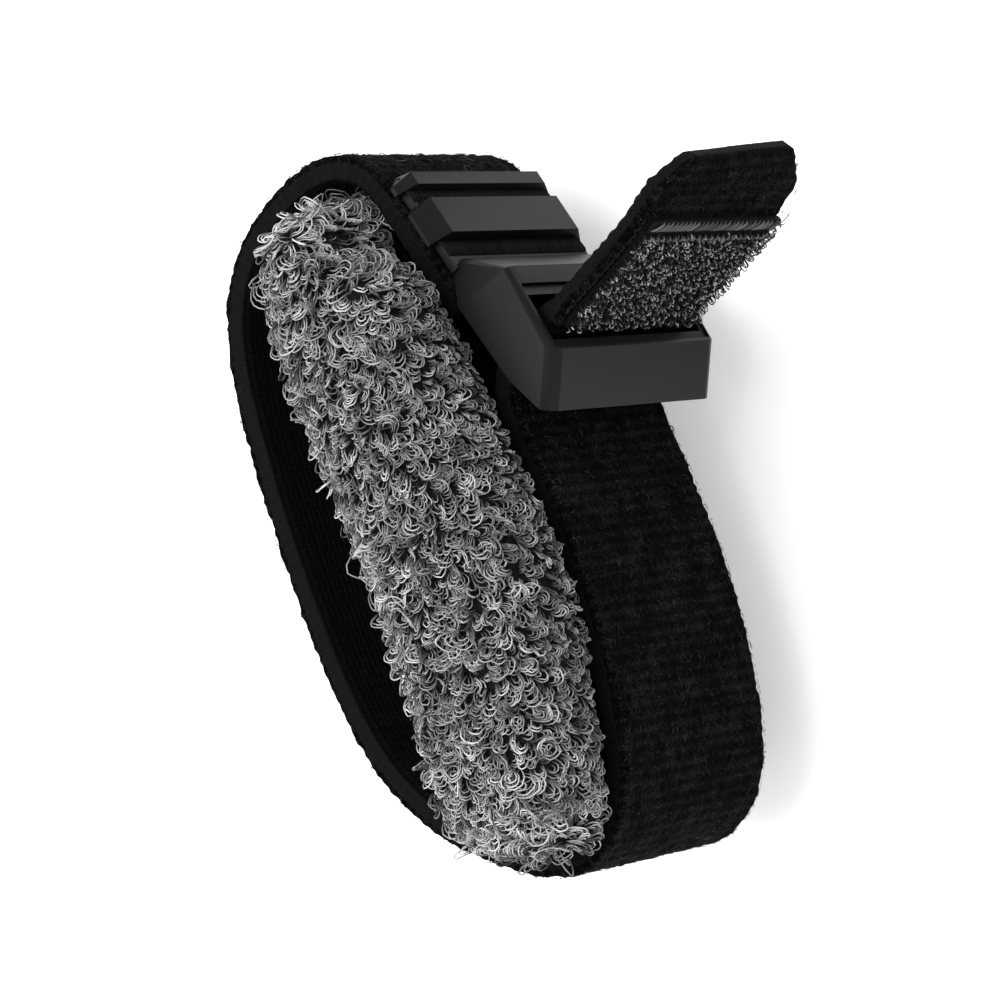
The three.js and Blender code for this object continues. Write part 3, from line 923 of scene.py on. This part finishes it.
def inflate(obj, pressure, cap_mm):
    """Swells a closed mesh with a short cloth simulation, no point moving further than the cap."""
    start = positions(obj.data)
    cloth = obj.modifiers.new("swell", "CLOTH")
    cloth.settings.quality = 6
    cloth.settings.use_pressure = True
    cloth.settings.uniform_pressure_force = pressure
    cloth.settings.effector_weights.gravity = 0
    cloth.settings.tension_stiffness = 12
    cloth.point_cache.frame_start = 1
    cloth.point_cache.frame_end = SWELL_FRAMES
    for number in range(1, SWELL_FRAMES + 1):
        bpy.context.scene.frame_set(number)
    bake(obj)
    bpy.context.scene.frame_set(1)
    move = positions(obj.data) - start
    far = np.linalg.norm(move, axis=1, keepdims=True) + 1e-12
    set_positions(obj.data, start + move * np.minimum(1, cap_mm * MM / far))


def pad_body():
    """The pad under its loops: a smaller, slightly swollen copy of the solid pad."""
    obj = copy_of("pad_terry_cover", "pad_body")
    outer_shell(obj)
    remesh = obj.modifiers.new("even", "REMESH")
    remesh.mode = "VOXEL"
    remesh.voxel_size = VOXEL * MM
    bake(obj)
    co = positions(obj.data)
    for _ in range(4):
        co = co - normals(obj.data) * LOOP_ROOM / 4 * MM
        set_positions(obj.data, co)
    set_positions(obj.data, sculpt_pad(co, normals(obj.data)))
    inflate(obj, SWELL_PRESSURE, SWELL_CAP)
    obj.data.materials.clear()
    # The near-black ground is painted shade between the loops.
    obj.data.materials.append(SHADED_GROUND)
    obj.data.shade_smooth()
    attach(obj, "band")
    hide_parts("pad_terry_cover")
    return obj


def spread(points, spacing_mm):
    """Indices of the points that lie no nearer to each other than most of the spacing."""
    closest = (0.78 * spacing_mm) ** 2
    around = [(dx, dy, dz) for dx in (-1, 0, 1) for dy in (-1, 0, 1) for dz in (-1, 0, 1)]
    cells = {}
    keep = []
    for i, p in enumerate(points):
        x, y, z = np.floor(p / spacing_mm).astype(int)
        taken = (j for dx, dy, dz in around for j in cells.get((x + dx, y + dy, z + dz), ()))
        if all(((points[j] - p) ** 2).sum() >= closest for j in taken):
            cells.setdefault((x, y, z), []).append(i)
            keep.append(i)
    return keep


def scatter(obj, spacing_mm, seed):
    """Evenly spread seeded points on a mesh with the normals there, in millimetres."""
    mesh = obj.data
    mesh.calc_loop_triangles()
    tri = np.zeros(len(mesh.loop_triangles) * 3, np.int32)
    mesh.loop_triangles.foreach_get("vertices", tri)
    tri = tri.reshape(-1, 3)
    co = positions(mesh) / MM
    no = normals(mesh)
    a, b, c = (co[tri[:, k]] for k in range(3))
    area = np.linalg.norm(np.cross(b - a, c - a), axis=1) / 2
    rng = np.random.default_rng(seed)
    count = int(area.sum() / spacing_mm ** 2 * 9)
    pick = rng.choice(len(tri), count, p=area / area.sum())
    u, v = rng.random(count), rng.random(count)
    flip = u + v > 1
    u, v = np.where(flip, 1 - u, u), np.where(flip, 1 - v, v)
    w = np.stack([1 - u - v, u, v], 1)[..., None]
    points = (co[tri[pick]] * w).sum(1)
    facing = (no[tri[pick]] * w).sum(1)
    facing /= np.linalg.norm(facing, axis=1, keepdims=True)
    keep = spread(points, spacing_mm)
    return points[keep], facing[keep]


def unit(v):
    return v / (np.linalg.norm(v, axis=-1, keepdims=True) + 1e-9)


def shown_sites(points, facing):
    """Leaves out the loops that the strap or the floor hides."""
    within = np.abs(points[:, 2] - MID_Z) < HALF + 0.2
    behind_strap = within & (facing[:, 1] < -0.15) & (points[:, 1] + CENTRE_Y < -6)
    under = (facing[:, 2] < -0.9) & (points[:, 2] < 3.2)
    keep = ~(behind_strap | under)
    return points[keep], facing[keep]


def combed(points, facing, rng):
    """The way each loop leans along the pad: brushed one way, and outwards at the ends."""
    field = lattice_noise(points[:, 0], points[:, 2] + points[:, 1], 3.0, 53)
    toward = np.array([-0.7, -0.3, -0.4])[None] + rng.normal(0, 0.55, (len(points), 3))
    toward = toward + field[:, None] * np.array([[0.6, -0.3, 0.3]])
    at_end = smooth((np.abs(points[:, 0]) - 25) / 8)[:, None]
    outwards = np.where(points[:, 0] > 0, -0.3, -0.5)
    outwards = np.stack([outwards, facing[:, 1], facing[:, 2]], 1)
    toward = toward * (1 - at_end) + at_end * outwards
    return unit(toward - (toward * facing).sum(1, keepdims=True) * facing)


def make_loops(points, facing):
    """The yarn of all loops, each of several plies, as (lines, shade along them)."""
    rng = np.random.default_rng(52)
    count = len(points)
    lean = combed(points, facing, rng)
    roll = rng.normal(0, 0.55, count)[:, None]
    side = np.cross(facing, lean) * np.cos(roll) + facing * np.sin(roll)
    sunk = np.abs(np.sin(roll[:, 0]))
    above = np.abs(points[:, 2] - MID_Z) - HALF
    splay = smooth(np.hypot(points[:, 1] + 1.0, above) / 11)
    near_side = points[:, 2] > MID_Z - 4
    at_end = smooth((np.abs(points[:, 0]) - 25) / 8) * near_side
    top_end = smooth((points[:, 0] - 14) / 16) * near_side
    bottom_end = smooth((-points[:, 0] - 22) / 12)
    size = rng.normal(1.0, 0.2, count) * (0.5 + 0.5 * splay)
    size = size * (1 + 0.2 * np.maximum(at_end, top_end))
    tall = LOOP_TALL * size
    wide = LOOP_WIDE * size
    up_angle = rng.normal(0.6, 0.2, count)[:, None]
    direction = lean * np.cos(up_angle) + facing * np.sin(up_angle)
    # Random grey for each loop. Painted shade darkens the loops near the strap's rim, and painted light
    # brightens them towards both ends of the pad.
    shade = rng.normal(0.54, 0.24, count) * (0.55 + 0.45 * splay)
    shade = np.clip(shade * (1 + 0.4 * bottom_end + 0.2 * top_end), 0.06, 1)
    stray = rng.choice(count, STRAYS, replace=False)

    t = np.linspace(0.0, math.pi, LOOP_STEPS)
    arch = np.sin(t)[None]
    swing = np.cos(t)[None] * (1 + 0.45 * arch)
    root = points + facing * (0.45 * sunk * wide - 0.1)[:, None]
    strands = []
    shades = []
    for ply in range(PLIES):
        scale = (1 - 0.25 * ply) * rng.normal(1, 0.08, count)
        sideways = (wide * scale / 2)[:, None] * swing
        outwards = (tall * scale)[:, None] * arch ** 0.85
        droop = 0.22 * tall[:, None] * arch ** 3
        line = (root[:, None, :] + side[:, None, :] * sideways[..., None]
                + direction[:, None, :] * outwards[..., None]
                + facing[:, None, :] * (0.16 * ply * arch - droop)[..., None])
        line = line + rng.normal(0, 0.09, (count, 1, 3)) + rng.normal(0, 0.03, line.shape)
        if ply == 0:
            line[stray] = points[stray, None, :] + (line[stray] - points[stray, None, :]) * 1.9
        line[..., 2] = np.maximum(line[..., 2], FLOOR_GAP)
        strands.append(line)
        ply_shade = np.clip(shade + rng.normal(0, 0.07, count), 0.05, 1)
        # Painted shade: each ply darkens towards its root in the pad.
        shades.append(ply_shade[:, None] * (0.03 + 0.97 * arch ** 1.2))
    return np.concatenate(strands), np.concatenate(shades)


def make_pad():
    """The pad's body with terry loops all over, in pieces of a size that the export keeps whole."""
    body = pad_body()
    points, facing = scatter(body, LOOP_SPACING, 51)
    lines, values = make_loops(*shown_sites(points, facing))
    order = np.argsort(lines[:, 0, 0], kind="stable")
    parts = int(math.ceil(len(lines) * (LOOP_STEPS - 1) * 6 / FACES_PER_PIECE))
    for number, pick in enumerate(np.array_split(order, parts)):
        piece = tubes("terry_loops_%d" % (number + 1), lines[pick], YARN_RADIUS, TERRY, 3, values[pick])
        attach(piece, "band")


def dress_hidden_nodes():
    """Materials for the CAD parts that lie inside the pad and between it and the strap."""
    dressed = {
        "pad_foam_core": EDGE,
        "pad_backing": LINING,
        "pad_fix_stitch_top": THREAD,
        "pad_fix_stitch_mid": THREAD,
    }
    for node, material in dressed.items():
        mesh = bpy.data.objects[node].data
        mesh.materials.clear()
        mesh.materials.append(material)


# ---- floor, light and camera ----

AZIMUTH = -15.56
ELEVATION = 52.06
ROLL = 96.26
CAMERA_AT = (-0.06617, -0.23058, 0.34219)
LENS = 144.0
FLOOR_HALF = 3.0
FLOOR_GLOW = 0.32
WORLD_LIGHT = 1.0
KEY_FROM = (-0.95, 0.15, 0.65)
KEY_DISTANCE = 0.9
KEY_SIZE = (0.9, 0.9)
KEY_POWER = 9.5


def camera_axes():
    a, e, r = (math.radians(v) for v in (AZIMUTH, ELEVATION, ROLL))
    back = Vector((math.sin(a) * math.cos(e), -math.cos(a) * math.cos(e), math.sin(e)))
    level = Vector((0, 0, 1)).cross(back).normalized()
    above = back.cross(level)
    up = above * math.cos(r) + level * math.sin(r)
    return up.cross(back), up, back


def make_camera():
    """A long lens at the photograph's angle."""
    right, up, back = camera_axes()
    data = bpy.data.cameras.new("camera")
    data.lens = LENS
    data.sensor_width = 36
    data.clip_start = 0.01
    data.clip_end = 20
    camera = bpy.data.objects.new("camera", data)
    bpy.context.scene.collection.objects.link(camera)
    axes = Matrix((right, up, back)).transposed().to_4x4()
    camera.matrix_world = Matrix.Translation(CAMERA_AT) @ axes
    bpy.context.scene.camera = camera


def make_light(name, toward, distance, size, power):
    """A soft box in a direction given as (right, up, back) of the camera."""
    right, up, back = camera_axes()
    target = Vector((0, 0, 0.02))
    direction = (right * toward[0] + up * toward[1] + back * toward[2]).normalized()
    data = bpy.data.lights.new(name, "AREA")
    data.shape = "RECTANGLE"
    data.size, data.size_y = size
    data.energy = power
    light = bpy.data.objects.new(name, data)
    bpy.context.scene.collection.objects.link(light)
    light.location = target + direction * distance
    light.rotation_mode = "QUATERNION"
    light.rotation_quaternion = direction.to_track_quat("Z", "Y")


def make_stage():
    """A pale floor that glows a little, an even white world and one soft key light."""
    data = bpy.data.meshes.new("floor")
    bm = bmesh.new()
    bmesh.ops.create_grid(bm, x_segments=8, y_segments=8, size=FLOOR_HALF)
    bm.to_mesh(data)
    bm.free()
    floor = bpy.data.objects.new("floor", data)
    bpy.context.scene.collection.objects.link(floor)
    n = Nodes("white_floor", (0.9, 0.9, 0.9), 0.9, Specular_IOR_Level=0.1,
              Emission_Strength=FLOOR_GLOW)
    n.shader.inputs["Emission Color"].default_value = (1, 1, 1, 1)
    data.materials.append(n.material)
    world = bpy.data.worlds.new("studio")
    world.use_nodes = True
    world.node_tree.nodes["Background"].inputs["Color"].default_value = (1, 1, 1, 1)
    world.node_tree.nodes["Background"].inputs["Strength"].default_value = WORLD_LIGHT
    bpy.context.scene.world = world
    make_light("key", KEY_FROM, KEY_DISTANCE, KEY_SIZE, KEY_POWER)
    bpy.context.scene.view_settings.view_transform = "Standard"
    bpy.context.scene.view_settings.look = "None"


make_strap()
make_hooks()
make_edge_band()
make_buckle()
make_pad()
dress_hidden_nodes()
make_stage()
make_camera()
